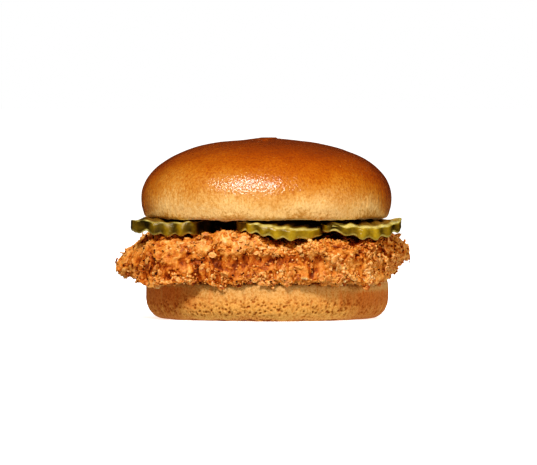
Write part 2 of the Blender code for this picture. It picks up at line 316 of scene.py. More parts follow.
# %% A helper for procedural finishes
class Finish:
    """A Principled material to which named layers are added."""

    def __init__(self, name, **sockets):
        self.material = bpy.data.materials.new(name)
        self.material.use_nodes = True
        tree = self.material.node_tree
        self.nodes, self.links = tree.nodes, tree.links
        self.shader = self.nodes["Principled BSDF"]
        self.space = self.nodes.new("ShaderNodeTexCoord").outputs["Object"]
        for socket, value in sockets.items():
            self.shader.inputs[socket.replace("_", " ")].default_value = value

    def plug(self, value, socket):
        """Links a layer into a socket, or sets a plain value on it."""
        if isinstance(value, bpy.types.NodeSocket):
            self.links.new(value, socket)
        else:
            socket.default_value = value

    def trait(self, name):
        node = self.nodes.new("ShaderNodeAttribute")
        node.attribute_name = name
        return node.outputs["Fac"]

    def noise(self, size_mm, detail=2.0, rough=0.5, stretch=None):
        """Noise from 0 to 1 with features of size_mm, stretched along the axes if asked."""
        node = self.nodes.new("ShaderNodeTexNoise")
        node.inputs["Scale"].default_value = 1 / (size_mm * MM)
        node.inputs["Detail"].default_value = detail
        node.inputs["Roughness"].default_value = rough
        self.links.new(self.stretched(stretch) if stretch else self.space, node.inputs["Vector"])
        return node.outputs["Fac"]

    def cells(self, size_mm, feature="F1", randomness=1.0):
        """Distance field of rounded cells of about size_mm."""
        node = self.nodes.new("ShaderNodeTexVoronoi")
        node.feature = feature
        node.inputs["Scale"].default_value = 1 / (size_mm * MM)
        node.inputs["Randomness"].default_value = randomness
        self.links.new(self.space, node.inputs["Vector"])
        return node.outputs["Distance"]

    def stretched(self, factors):
        node = self.nodes.new("ShaderNodeMapping")
        node.inputs["Scale"].default_value = factors
        self.links.new(self.space, node.inputs["Vector"])
        return node.outputs["Vector"]

    def sum(self, how, first, second=0.0, third=0.0):
        node = self.nodes.new("ShaderNodeMath")
        node.operation = how
        for socket, value in zip(node.inputs, (first, second, third)):
            self.plug(value, socket)
        return node.outputs["Value"]

    def shift(self, value, noise, amount):
        """Moves a value up and down by a noise field, by up to about half the amount each way."""
        return self.sum("MULTIPLY_ADD", self.sum("SUBTRACT", noise, 0.5), amount, value)

    def shade(self, colour, field, low, high, darkest):
        """Darkens a colour where a field is low, down to the darkest (red, green, blue) share of it."""
        tint = self.mix(self.remap(field, low, high), darkest, (1.0, 1.0, 1.0))
        return self.mix(1.0, colour, tint, "MULTIPLY")

    def remap(self, value, low, high, to_low=0.0, to_high=1.0):
        node = self.nodes.new("ShaderNodeMapRange")
        node.interpolation_type = "SMOOTHSTEP"
        self.links.new(value, node.inputs["Value"])
        for socket, number in (("From Min", low), ("From Max", high), ("To Min", to_low), ("To Max", to_high)):
            node.inputs[socket].default_value = number
        return node.outputs["Result"]

    def ramp(self, value, stops):
        """A colour ramp: stops are (place, (red, green, blue)) in linear light."""
        node = self.nodes.new("ShaderNodeValToRGB")
        elements = node.color_ramp.elements
        while len(elements) < len(stops):
            elements.new(0.5)
        for element, (place, colour) in zip(elements, stops):
            element.position = place
            element.color = (*colour, 1)
        self.links.new(value, node.inputs["Fac"])
        return node.outputs["Color"]

    def mix(self, factor, first, second, how="MIX"):
        node = self.nodes.new("ShaderNodeMix")
        node.data_type = "RGBA"
        node.blend_type = how
        self.plug(factor, node.inputs["Factor"])
        for value, socket in ((first, node.inputs[6]), (second, node.inputs[7])):
            self.plug((*value, 1) if isinstance(value, tuple) else value, socket)
        return node.outputs[2]

    def bump(self, height, depth_mm, below=None):
        """Relief too fine for the mesh, depth_mm deep, stacked on the bump below."""
        node = self.nodes.new("ShaderNodeBump")
        node.inputs["Strength"].default_value = 1.0
        node.inputs["Distance"].default_value = depth_mm * MM
        self.links.new(height, node.inputs["Height"])
        if below is not None:
            self.links.new(below, node.inputs["Normal"])
        return node.outputs["Normal"]

    def paint(self, **layers):
        for socket, value in layers.items():
            self.plug(value, self.shader.inputs[socket.replace("_", " ")])
        return self.material


print("finish helper ready")

# %% [markdown]
# ## The bun crust
# A bun's crust is brown where the oven's heat was strongest, at the top of the crown, and pale on
# the skirt, where it touched its neighbours. The crown is brushed with egg, so it has a thin gloss
# over pimply skin. The colour could be painted as an image, but a ramp read by height and by a
# cloud gives the same drift of tones at any size and needs no file.

# %% Colours of the crust, from the rim of the crown to its top
def from_display(red, green, blue):
    """Linear light from 0 to 255 display values, for colours that are given as display values."""
    def one(value):
        value = value / 255
        return value / 12.92 if value <= 0.04045 else ((value + 0.055) / 1.055) ** 2.4
    return tuple(one(value) for value in (red, green, blue))


CROWN_BROWNING = [
    # The two lowest stops are darker than the skirt: painted shade along the crown's lower edge.
    (0.00, from_display(198, 140, 70)),
    (0.05, from_display(216, 160, 88)),
    (0.12, from_display(243, 198, 130)),
    (0.22, from_display(231, 174, 99)),
    (0.36, from_display(212, 140, 58)),
    (0.52, from_display(202, 118, 28)),
    (0.68, from_display(190, 98, 8)),
    (0.84, from_display(176, 85, 4)),
    (1.00, from_display(164, 77, 9)),
]
# Pale dots on the crown: small blisters, lightened as a painted glint.
BLISTER_GOLD = from_display(236, 168, 88)
# Painted shade in the fold near the top of the crown.
CREASE_BROWN = from_display(112, 50, 12)
CRUMB_PALE = from_display(236, 208, 156)
CRUMB_TOAST = from_display(186, 124, 62)


def crown_crust():
    """Egg-washed crust with a toasted, open crumb on the cut face."""
    finish = Finish("crown_crust", Roughness=0.45, Specular_IOR_Level=0.2, Coat_Roughness=0.17,
                    Coat_IOR=1.65)
    baked = finish.trait("baked")
    drift = finish.shift(baked, finish.noise(10, 4, 0.6), 0.30)
    drift = finish.shift(drift, finish.noise(1.1, 3, 0.75), 0.46)
    crust = finish.ramp(drift, CROWN_BROWNING)
    speckle = finish.noise(0.7, 3, 0.75, (1.0, 1.0, 0.45))
    speckled = finish.shade(crust, speckle, 0.36, 0.57, (0.74, 0.54, 0.34))
    crust = finish.mix(finish.remap(baked, 0.08, 0.5, 0.5, 1.0), crust, speckled)
    # Small pale dots: blisters in the skin, made paler as a painted glint where they would catch the light.
    blister = finish.remap(finish.cells(2.3), 0.12, 0.04)
    blister = finish.sum("MULTIPLY", blister, finish.remap(finish.noise(7, 3, 0.6), 0.46, 0.62))
    crust = finish.mix(blister, crust, BLISTER_GOLD)
    # The fold's groove is darkened: painted shade in the crease.
    crust = finish.mix(finish.trait("crease"), crust, CREASE_BROWN)
    egg_wash = finish.remap(baked, 0.10, 0.45, 0.12, 1.0)
    pore = finish.remap(finish.cells(1.7), 0.08, 0.38)
    crumb = finish.mix(pore, CRUMB_TOAST, CRUMB_PALE)
    colour = finish.mix(finish.trait("cut"), crust, crumb)
    normal = finish.bump(finish.noise(2.4, 3, 0.6), 0.16)
    normal = finish.bump(finish.cells(1.0), -0.13, normal)
    normal = finish.bump(finish.noise(0.6, 3, 0.65), 0.11, normal)
    return finish.paint(Base_Color=colour, Coat_Weight=egg_wash, Normal=normal, Coat_Normal=normal)


crown_finish = crown_crust()
print("crown finish:", crown_finish.name)

# %% [markdown]
# ## The crown
# The crown is a risen dome. Dough never rises evenly: it has slow dents a thumb wide, a small fold
# near the top where the skin closed on itself, and fine upright wrinkles where the skirt shrank as
# it cooled. They are real relief, because they show in the outline and in the gloss.

# %% Shape the crown
CROWN_LEAN = 0.55
RIM_FULLNESS = 0.7
RIM_DROOP = 0.35
CRUMB_SAG = 3.1
FOLD = np.array([(5.4, 3.0), (4.6, -1.0), (3.4, -5.0), (1.2, -9.5), (-2.0, -13.0)])
FOLD_WIDTH = 0.6
FOLD_DEPTH = 0.85
FOLD_LIP = 0.6


def settle_crown(points):
    """The soft crown leans a little, bulges at its lower rim, and sags between the pickle slices."""
    reach = np.hypot(points[..., 0], points[..., 1])
    base = points[..., 2].min()
    low_rim = np.exp(-((points[..., 2] - base) / 1.7) ** 2) * ease_between(reach, 40, 46.5)
    grow = 1 + (RIM_FULLNESS * low_rim + 0.25) / np.maximum(reach, 20)
    points[..., :2] *= grow[..., None]
    points[..., 0] += CROWN_LEAN
    torn = 0.34 * cloud(points, 4.2, 11) + 0.22 * cloud(points, 1.4, 12)
    points[..., 2] -= low_rim * (RIM_DROOP + torn)
    under = ease_between(points[..., 2], base + 1.2, base + 0.2)
    hollow = ease_between(reach, 46.5, 38) * ease_between(points[..., 1], -14, 4)
    between = np.exp(-((points[..., 0] + 16.3) / 3.2) ** 2) * ease_between(reach, 45, 40)
    points[..., 2] -= under * (CRUMB_SAG * hollow + 1.2 * between * (points[..., 1] < 0))
    return points


crown = settle_crown(soften(scan_round("bun_crown", 600, 180, 18, (0.3, 1.0)), 4.5, 1.9))
crown_normal = normals_of(crown)


def beside_line(points, line):
    """Distance to a bent line on the plan, negative on its left, and how far along it from 0 to 1."""
    best = np.full(points.shape[:-1], 1e9)
    along = np.zeros_like(best)
    for index in range(len(line) - 1):
        start, step = line[index], line[index + 1] - line[index]
        part = np.clip(((points[..., :2] - start) @ step) / (step @ step), 0, 1)
        away = points[..., :2] - start - part[..., None] * step
        side = np.sign(away[..., 0] * -step[1] + away[..., 1] * step[0])
        gap = np.linalg.norm(away, axis=-1) * side
        nearer = np.abs(gap) < np.abs(best)
        along = np.where(nearer, (index + part) / (len(line) - 1), along)
        best = np.where(nearer, gap, best)
    return best, along


def crown_relief(points, normals):
    """Millimetres that the crown's skin stands proud of its solid, and the mask of the painted shade in the
    fold.
    """
    relief = 0.30 * cloud(points, 19, 3) + 0.10 * cloud(points, 7, 4) + 0.035 * cloud(points, 2.4, 5)
    turn = np.arctan2(points[..., 1], points[..., 0])
    ring = np.stack([np.cos(turn) * 50, np.sin(turn) * 50, points[..., 2] / 9], axis=-1)
    skirt = ease_between(points[..., 2], 58, 43) * ease_between(normals[..., 2], -0.8, -0.3)
    aside = ease_between(np.abs(points[..., 0]), 18, 40)
    relief += skirt * (0.09 + 0.12 * aside) * cloud(ring, 1.5, 6, 2)
    gap, along = beside_line(points, FOLD)
    above = ease_between(normals[..., 2], 0.3, 0.7)
    fade = ease_between(along, 1.0, 0.7) * ease_between(along, -0.05, 0.15) * above
    # The fold's groove, which is also the mask of its painted shade.
    crease = fade * np.exp(-(gap / FOLD_WIDTH) ** 2)
    relief -= FOLD_DEPTH * crease
    relief += fade * FOLD_LIP * ease_between(-gap, 0.2, 1.2) * np.exp(-(gap / 7.0) ** 2)
    return relief, crease


def browning(points):
    """How brown the crust is, from 0 at the rim to 1 on top. The front of the skirt is palest; its sides are
    browner, partly baked colour and partly painted shade, and the right of the top is painted darker as shade.
    """
    low, high = points[..., 2].min() + CRUMB_SAG, points[..., 2].max()
    height = np.clip((points[..., 2] - low) / (high - low), 0, 1)
    reach = np.hypot(points[..., 0], points[..., 1]) + 1e-6
    facing = -points[..., 1] / reach
    # Sides turned away from the front are browner: partly baked colour, partly painted shade where they turn
    # from the light.
    side = ease_between(facing, 0.6, 0.1) * ease_between(height, -0.05, 0.15) * ease_between(height, 1.0, 0.6)
    # The right of the top is darker: painted shade, as the light comes from the left.
    lean = 0.15 * points[..., 0] / 50 * ease_between(height, 0.1, 0.6)
    return np.clip(height + 0.38 * side + lean + 0.09 * cloud(points, 20, 8, 2), 0, 1)


crown_height, crown_crease = crown_relief(crown, crown_normal)
crown += crown_normal * crown_height[..., None]
crown_cut = ease_between(-crown_normal[..., 2], 0.80, 0.97)
crown_piece = skin_piece("bun_crown_skin", crown, crown_finish,
                         {"baked": browning(crown), "cut": crown_cut, "crease": crown_crease})
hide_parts("bun_crown")

# %% [markdown]
# ## The heel
# The heel is the bottom half of the same bun. Its side was baked against the tray: cream just under
# the cut, then a porous orange band, and a dark brown line where it met the metal. The pores are
# small open bubbles, so they are dug into the mesh and darkened inside with painted shade.

# %% Finish of the heel
# The low band is brighter than the middle: partly the crust's orange, partly painted light from the table's
# bounce.
HEEL_BAND = [
    (0.00, from_display(180, 98, 42)),
    (0.04, from_display(255, 176, 94)),
    (0.12, from_display(255, 192, 106)),
    (0.30, from_display(246, 180, 96)),
    (0.50, from_display(230, 166, 90)),
    (0.72, from_display(218, 164, 96)),
    (1.00, from_display(218, 174, 114)),
]
# Browner sides of the heel: partly baked colour, partly painted shade where they turn from the light.
SIDE_BROWN = from_display(212, 128, 62)
# Painted shade inside the heel's pores.
PORE_BROWN = from_display(160, 80, 24)


def heel_crust():
    """Dry, porous crust with a paler shoulder and a dark foot."""
    finish = Finish("heel_crust", Roughness=0.62, Specular_IOR_Level=0.15)
    drift = finish.shift(finish.trait("baked"), finish.noise(6, 3, 0.6), 0.3)
    drift = finish.shift(drift, finish.noise(0.8, 3, 0.75), 0.30)
    crust = finish.ramp(drift, HEEL_BAND)
    # Sides: baked brown and painted shade.
    crust = finish.mix(finish.trait("side"), crust, SIDE_BROWN)
    crust = finish.shade(crust, finish.noise(0.8, 4, 0.8), 0.36, 0.56, (0.74, 0.54, 0.34))
    # Painted shade inside the pores.
    crust = finish.mix(finish.trait("pit"), crust, PORE_BROWN)
    pore = finish.remap(finish.cells(1.5), 0.08, 0.38)
    crumb = finish.mix(pore, CRUMB_TOAST, CRUMB_PALE)
    colour = finish.mix(finish.trait("cut"), crust, crumb)
    normal = finish.bump(finish.noise(1.6, 3, 0.65), 0.24)
    normal = finish.bump(finish.noise(0.6, 3, 0.65), 0.24, normal)
    return finish.paint(Base_Color=colour, Normal=normal)


heel_finish = heel_crust()
print("heel finish:", heel_finish.name)

# %% Shape the heel
PORE_SIZE = 1.15
PORE_DEPTH = 0.55
PORE_BEND = 0.4
WAIST = 0.9

heel_low, heel_high = node_box("bun_heel")
heel = soften(scan_round("bun_heel", 860, 112, 9, (0.2, 0.2)), 6.0, 1.2)
heel_normal = normals_of(heel)
heel_height = (heel[..., 2] - heel_low[2]) / (heel_high[2] - heel_low[2])
heel_side = ease_between(np.abs(heel_normal[..., 2]), 0.9, 0.6)
heel_reach = np.hypot(heel[..., 0], heel[..., 1])
heel_front = -heel[..., 1] / heel_reach


def heel_pores(points):
    """How deep each point lies in an open bubble, from 0 to 1; most bubbles open low on the front."""
    bend = np.stack([cloud(points, 1.5, seed) for seed in (27, 28, 29)], axis=-1)
    near, chance, _ = grains(points + PORE_BEND * bend, PORE_SIZE, 21)
    pores = ease_between(near, 0.62, 0.22) * ease_between(chance, 0.0, 0.7)
    low_front = 2.4 * (0.52 - heel_height) + 0.35 * heel_front
    where = ease_between(0.5 * cloud(points, 9, 23) + low_front, -0.1, 0.5)
    return pores * where * heel_side


heel_pore = heel_pores(heel)
heel_turn = np.arctan2(heel[..., 1], heel[..., 0])
heel_ring = np.stack([np.cos(heel_turn) * 48, np.sin(heel_turn) * 48, heel[..., 2] / 8], axis=-1)
heel_relief = 0.28 * cloud(heel, 15, 24) + 0.10 * cloud(heel, 4.5, 25)
heel_streaks = cloud(heel_ring, 1.5, 26, 2)
heel_relief += heel_side * 0.16 * heel_streaks - PORE_DEPTH * heel_pore
heel_relief -= WAIST * ease_between(heel_front, 0.5, 0.8) * ease_between(heel_height, 0.4, 0.9)
heel += heel_normal * heel_relief[..., None]
heel_cut = ease_between(heel_normal[..., 2], 0.85, 0.97)
above_foot = ease_between(heel_height, 0.12, 0.45)
round_corner = 0.75 * ease_between(heel_front, 0.85, 0.60)
# Away from the front the heel is browner: partly baked colour, partly painted shade.
heel_brown = ease_between(heel_front, 0.95, 0.6) * np.maximum(above_foot, round_corner)
cream_edge = 0.92 - 0.14 * ease_between(heel[..., 0], 0, 30)
heel_brown = heel_brown * ease_between(heel_height - cream_edge, 0, -0.14) + 0.45 * heel_side * heel_streaks
heel_piece = skin_piece("bun_heel_skin", heel, heel_finish,
                        {"baked": heel_height, "pit": heel_pore, "cut": heel_cut,
                         "side": np.clip(heel_brown, 0, 1)})
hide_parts("bun_heel")

# %% [markdown]
# ## The breading
# Breading is wet flour that fries into a crust of crags: rounded lumps, ragged flakes that curl
# away from them, and loose crumbs. A displaced surface alone looks like stone, and flakes alone
# look like cereal, so both are used: a craggy core, then flakes, crumbs and pepper joined onto it.

# %% Finish of the breading
# Low tones are the painted shade of the crevices, high tones the open ridges.
BREADING_TONES = [
    (0.00, from_display(114, 50, 12)),
    (0.20, from_display(184, 94, 28)),
    (0.42, from_display(222, 138, 59)),
    (0.70, from_display(247, 176, 95)),
    (1.00, from_display(255, 212, 148)),
]


def breading(name, contrast, shine):
    """Fried flour with painted shade in the crevices, paler golden ridges, and a trace of oil."""
    finish = Finish(name, Roughness=0.45, Specular_IOR_Level=shine, Subsurface_Weight=0.12,
                    Subsurface_Radius=(1.0, 0.45, 0.15), Subsurface_Scale=0.0015)
    tone = finish.trait("tone")
    fine = finish.sum("SUBTRACT", finish.noise(0.9, 3, 0.65), 0.5)
    slow = finish.sum("SUBTRACT", finish.noise(9, 2, 0.5), 0.5)
    drift = finish.sum("MULTIPLY_ADD", fine, contrast, tone)
    drift = finish.sum("MULTIPLY_ADD", slow, 0.25, drift)
    colour = finish.ramp(drift, BREADING_TONES)
    colour = finish.shade(colour, finish.noise(0.7, 3, 0.75), 0.34, 0.58, (0.76, 0.56, 0.38))
    normal = finish.bump(finish.noise(1.0, 3, 0.7), 0.32)
    return finish.paint(Base_Color=colour, Normal=normal)


breading_finish = breading("breading", 0.5, 0.2)
flake_finish = breading("breading_flake", 0.4, 0.5)
print("breading finishes:", breading_finish.name, flake_finish.name)

# %% Shape the craggy core
CORE_INSET = 1.0
FRONT_INSET = 0.5
HANG = 2.9
LOBE_HANG = 1.8
LEFT_TRIM = 0.3
RIGHT_TRIM = 2.2
LEFT_DROOP = 2.7
LEFT_LIFT = 0.6
RIGHT_LIFT = 5.2
TIP_SAG = 1.4


def square_off(points):
    """Fills the fillet's lower front corner, so that its breading stands out past the heel."""
    reach = np.hypot(points[..., 0], points[..., 1])
    rim = reach.max(axis=1, keepdims=True)
    facing = -points[..., 1] / np.maximum(reach, 1)
    low = ease_between(points[..., 2], 25, 18.5) * ease_between(reach, 38, 45)
    out = low * ease_between(facing, 0.2, 0.55) * np.clip(rim - 0.2 - reach, 0, 7) * 0.9
    points[..., :2] *= (1 + out / np.maximum(reach, 1))[..., None]
    return points


fillet = square_off(soften(scan_round("chicken_fillet", 940, 220, 14, (0.25, 0.5)), 2.2, 1.2))
fillet_normal = normals_of(fillet)


def valley(points):
    """The long hollow between the fillet's two front ridges, and the crease left of it."""
    x, y, z = (points[..., axis] for axis in range(3))
    front = ease_between(y, -18, -34)
    along = ease_between(x, -31, -24) * ease_between(x, 30, 20)
    middle = 24.0 + 0.9 * np.sin(x / 6.5) - 0.02 * x + 1.2 * cloud(points, 8, 57)
    band = np.exp(-((z - middle) / 2.3) ** 2) * along
    lean = x + 28.5 + (22 - z) * -0.45
    crease = np.exp(-(lean / 1.3) ** 2) * ease_between(z, 29, 26) * ease_between(z, 15, 18)
    return front * np.maximum(band, crease)


def plates(points, size, seed):
    """Height of crusty plates: each grain is a tilted slab, so its edges are little cliffs."""
    near, chance, lean = grains(points, size, seed)
    return np.clip(chance + 1.1 * lean, -0.3, 1.4) - 0.5 - 0.35 * near ** 2


def crag_relief(points):
    """Relief of the crags in millimetres, and a painted shade tone from 0 in crevices to 1 on open ridges."""
    warp = np.stack([cloud(points, 5, 40 + axis) for axis in range(3)], axis=-1)
    fray = np.stack([cloud(points, 1.3, 36 + axis) for axis in range(3)], axis=-1)
    bent = points + 1.2 * warp + 0.45 * fray
    lump = cloud(bent, 9, 43)
    ridge = 0.55 - 2.2 * np.abs(cloud(bent, 6.0, 45))
    ridge = np.clip(ridge, -0.5, 0.5)
    wide = plates(bent, 4.4, 44)
    small = plates(bent, 2.0, 47)
    near, chance, _ = grains(points + 0.3 * fray, 1.15, 49)
    knob = np.sqrt(np.clip(1 - near ** 2 * 1.3, 0, 1)) * (0.3 + 0.7 * chance)
    low = valley(points)
    high = np.clip(0.5 + ridge + 0.4 * wide, 0, 1) * (1 - 0.6 * low)
    relief = 0.55 * lump + 0.8 * ridge + 0.75 * wide * (1 - 0.5 * low) + 0.6 * small - 0.7 * low
    relief += 0.5 * (knob - 0.4) * (0.35 + 0.65 * high)
    # Painted shade: crevices and the valley are darker, open ridges and knobs paler.
    exposed = 0.34 + 0.26 * high + 0.22 * wide + 0.28 * small + 0.22 * knob + 0.16 * lump - 0.16 * low
    return relief, np.clip(exposed, 0, 1)


def settle_fillet(points):
    """Breading hangs over the heel's edge, and both ends slope off towards their tips."""
    reach = np.hypot(points[..., 0], points[..., 1])
    hang = ease_between(reach, 47.9, 48.8) * ease_between(points[..., 2], 24, 17.5)
    hang = hang * ease_between(points[..., 0], -54, -47)
    depth = HANG + (LOBE_HANG - HANG) * ease_between(points[..., 0], -24, -32)
    ragged = np.clip(0.95 + 0.5 * cloud(points, 5.5, 52), 0.55, 1.4)
    points[..., 2] -= depth * hang * ragged
    left = ease_between(points[..., 0], -42, -54) * ease_between(points[..., 2], 24.5, 30)
    right = ease_between(points[..., 0], 44, 55) * ease_between(points[..., 2], 27, 33)
    left_tip, right_tip = ease_between(points[..., 0], -46, -59), ease_between(points[..., 0], 43, 57)
    low = ease_between(points[..., 2], 25, 16)
    under_slice = np.exp(-((points[..., 0] + 7) / 8) ** 2) * ease_between(-points[..., 1], 34, 42)
    left_belly = ease_between(points[..., 0], -45, -51) * ease_between(points[..., 0], -60, -55)
    points[..., 2] += RIGHT_LIFT * right_tip * low + LEFT_LIFT * left_belly * low
    points[..., 2] -= TIP_SAG * ease_between(points[..., 0], -54, -58) * low
    points[..., 2] -= LEFT_DROOP * left_tip * ease_between(points[..., 2], 16, 26)
    points[..., 2] += 2.0 * under_slice * ease_between(points[..., 2], 26, 32)
    points[..., 0] += LEFT_TRIM * left - RIGHT_TRIM * right
    return points


def fry_stains(points):
    """How much darker the crust is painted: at the left tip and along the low middle, and painted shadow under
    the right slice.
    """
    x, z = points[..., 0], points[..., 2]
    # The last spot is painted shadow under the right pickle slice.
    spots = [(-48, 22, 9, 8, 0.26), (-26, 21, 14, 5, 0.16), (-8, 18, 11, 4, 0.13), (37, 30.2, 13, 2.4, 0.40)]
    return sum(depth * np.exp(-((x - across) / wide) ** 2 - ((z - up) / tall) ** 2)
               for across, up, wide, tall, depth in spots)


crag_height, crag_exposed = crag_relief(fillet)
inset = CORE_INSET + FRONT_INSET * ease_between(-fillet[..., 1], 44, 49)
core = settle_fillet(fillet + fillet_normal * (crag_height - inset)[..., None])
core_piece = skin_piece("fillet_core", core, breading_finish, {"tone": np.clip(crag_exposed * 0.9 - fry_stains(fillet), 0, 1)})
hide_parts("chicken_fillet")

# %% [markdown]
# Flakes are thin curled chips. One chip is a small twisted dish with a ragged outline; thousands of
# them, each with its own outline, curl, tilt and size, are worked out together as arrays and joined
# into one mesh. Their feet are set in the crust and painted with shade, and their thin rims are painted pale as
# a highlight.

# %% Make one chip, and thousands
def unit(vectors):
    return vectors / (np.linalg.norm(vectors, axis=-1, keepdims=True) + 1e-12)


def local_axes(normals, lean, rng):
    """Three axes for each chip: two across it and one through it, leaning away from the normal."""
    count = len(normals)
    through = unit(normals + lean[:, None] * unit(rng.normal(size=(count, 3))))
    across = unit(np.cross(through, rng.normal(size=(count, 3))))
    return across, np.cross(through, across), through


def chip_faces(rim):
    """Faces of one chip: a fan on top, two bands round the edge, and a fan below."""
    inner, outer, low = 1, 1 + rim, 1 + 2 * rim
    faces = []
    for index in range(rim):
        after = (index + 1) % rim
        faces.append((0, inner + index, inner + after))
        for upper, lower in ((inner, outer), (outer, low)):
            faces.append((upper + index, lower + index, lower + after))
            faces.append((upper + index, lower + after, upper + after))
        faces.append((1 + 3 * rim, low + after, low + index))
    return np.array(faces)


def chips(places, normals, sizes, lean, curl, rng, rim):
    """Points, faces and tone of many ragged chips that curl up from a foot in painted shade to a thin rim with a
    painted highlight.
    """
    count = len(places)
    across, beside, through = local_axes(normals, lean, rng)
    turns = np.arange(rim) * 2 * math.pi / rim + rng.uniform(-0.2, 0.2, (count, rim))
    phases = rng.uniform(0, 2 * math.pi, (3, count, 1))
    reach = 0.85 + 0.20 * np.cos(turns + phases[0]) + 0.14 * np.cos(2 * turns + phases[1])
    reach = reach + rng.uniform(-0.16, 0.16, (count, rim))
    narrow = rng.uniform(0.5, 1.0, (count, 1))
    span = sizes[:, None]
    flat_x, flat_y = reach * np.cos(turns) * span, reach * np.sin(turns) * span * narrow
    twist = rng.uniform(0.1, 0.4, (count, 1)) * np.cos(2 * turns + phases[2])
    rise = (curl[:, None] + twist + rng.uniform(-0.16, 0.16, (count, rim))) * reach ** 2 * span
    thick = span * rng.uniform(0.16, 0.34, (count, 1))

    def place(x, y, z):
        return (places[:, None] + across[:, None] * x[..., None] + beside[:, None] * y[..., None]
                + through[:, None] * z[..., None])

    zero = np.zeros((count, 1))
    dimple = rng.uniform(0.0, 0.5, (count, rim)) * thick
    inner_ring = place(flat_x * 0.6, flat_y * 0.6, rise * 0.36 + thick * 0.4 + dimple)
    outer_ring = place(flat_x, flat_y, rise + thick * 0.2)
    low_ring = place(flat_x * 0.86, flat_y * 0.86, rise * 0.74 - thick * 0.6)
    points = np.concatenate([place(zero, zero, thick * 0.5), inner_ring, outer_ring, low_ring,
                             place(zero, zero, -thick * 1.4)], axis=1)
    per_chip = points.shape[1]
    faces = (chip_faces(rim)[None] + np.arange(count)[:, None, None] * per_chip).reshape(-1, 3)
    # Painted light on each chip: the thin rim is lightened as a highlight, the foot and underside darkened as
    # shade.
    edge_tone = np.concatenate([[-0.14], np.full(rim, 0.0), np.full(rim, 0.28), np.full(rim, -0.28), [-0.5]])
    tone = edge_tone[None] + rng.normal(0.52, 0.13, (count, 1)) - 0.8 * fry_stains(places)[:, None]
    return points.reshape(-1, 3), faces, np.clip(tone, 0, 1).ravel()


def lump_shape(rounds):
    """Corners and faces of an icosahedron, the seed of every lump, made rounder by splitting its faces."""
    golden = (1 + 5 ** 0.5) / 2
    corners = []
    for a in (-1, 1):
        for b in (-golden, golden):
            corners += [(a, b, 0), (0, a, b), (b, 0, a)]
    corners = list(unit(np.array(corners, float)))
    faces = []
    for i, j, k in combinations(range(12), 3):
        sides = [np.linalg.norm(corners[p] - corners[q]) for p, q in ((i, j), (j, k), (i, k))]
        if max(sides) < 1.1:
            facing = np.cross(corners[j] - corners[i], corners[k] - corners[i]) @ corners[i]
            faces.append((i, j, k) if facing > 0 else (i, k, j))
    for _ in range(rounds):
        halves = {}

        def half_way(i, j):
            key = (min(i, j), max(i, j))
            if key not in halves:
                halves[key] = len(corners)
                corners.append(unit(corners[i] + corners[j]))
            return halves[key]

        finer = []
        for i, j, k in faces:
            ij, jk, ki = half_way(i, j), half_way(j, k), half_way(k, i)
            finer += [(i, ij, ki), (j, jk, ij), (k, ki, jk), (ij, jk, ki)]
        faces = finer
    return np.array(corners), np.array(faces)


def lumps(places, sizes, rng, rounds=0, rough=0.18):
    """Many small uneven lumps joined into one set of points and faces."""
    corners, faces = lump_shape(rounds)
    count, corner_count = len(places), len(corners)
    stretch = rng.uniform(0.65, 1.25, (count, 1, 3))
    jitter = rng.uniform(1 - rough, 1 + rough, (count, corner_count, 1))
    points = places[:, None] + corners[None] * stretch * jitter * sizes[:, None, None]
    shift = np.arange(count)[:, None, None] * corner_count
    return points.reshape(-1, 3), (faces[None] + shift).reshape(-1, 3)


core_normal = normals_of(soften(core, 2.0, 2.0))
core_area = (np.linalg.norm(np.roll(core, -1, 0) - core, axis=-1)
             * np.linalg.norm(np.gradient(core, axis=1), axis=-1))


def pick_spots(rng, weight, count):
    """Chosen core points with their outward normals, more of them where the weight is high."""
    share = (core_area * weight).ravel()
    picked = rng.choice(share.size, count, replace=False, p=share / share.sum())
    return core.reshape(-1, 3)[picked], core_normal.reshape(-1, 3)[picked]


shown = 0.10 + ease_between(np.hypot(fillet[..., 0], fillet[..., 1]), 30, 42)
right_side = ease_between(fillet[..., 0], -20, 15)
clumps = ease_between(cloud(fillet, 6.5, 54), -0.30, 0.35)
bare = valley(fillet)
flake_share = shown * (0.12 + clumps) * (1 - 0.9 * bare) * (0.75 + 0.4 * right_side)
edge = ease_between(fillet[..., 2], 22, 18)
chip_share = shown * (0.10 + clumps) * (1 - 0.7 * bare) * (0.6 + 0.4 * np.maximum(right_side, edge))
crumb_share = shown * (0.12 + np.maximum(right_side, edge)) * (1 - 0.3 * bare)


def flake_piece(name, count, size_range, lean, curl, weight, rim, seed):
    """One piece of joined chips; sizes are half widths in millimetres."""
    rng = np.random.default_rng(seed)
    places, normals = pick_spots(rng, weight, count)
    small, large = size_range
    sizes = small + (large - small) * rng.random(count) ** 2.0
    places = places + normals * (sizes * rng.uniform(-0.15, 0.30, count))[:, None]
    tilt = rng.uniform(*lean, count)
    points, faces, tone = chips(places, normals, sizes, tilt, rng.uniform(*curl, count), rng, rim)
    return mesh_piece(name, inside_box(points), faces.tolist(), flake_finish, {"tone": tone})


flake_piece("breading_flakes", 1000, (0.9, 2.3), (0.1, 0.8), (-0.1, 0.4), flake_share, 11, 31)
flake_piece("breading_chips", 3000, (0.45, 1.1), (0.2, 1.3), (-0.2, 0.4), chip_share, 7, 32)


CURD_HUG = 0.08


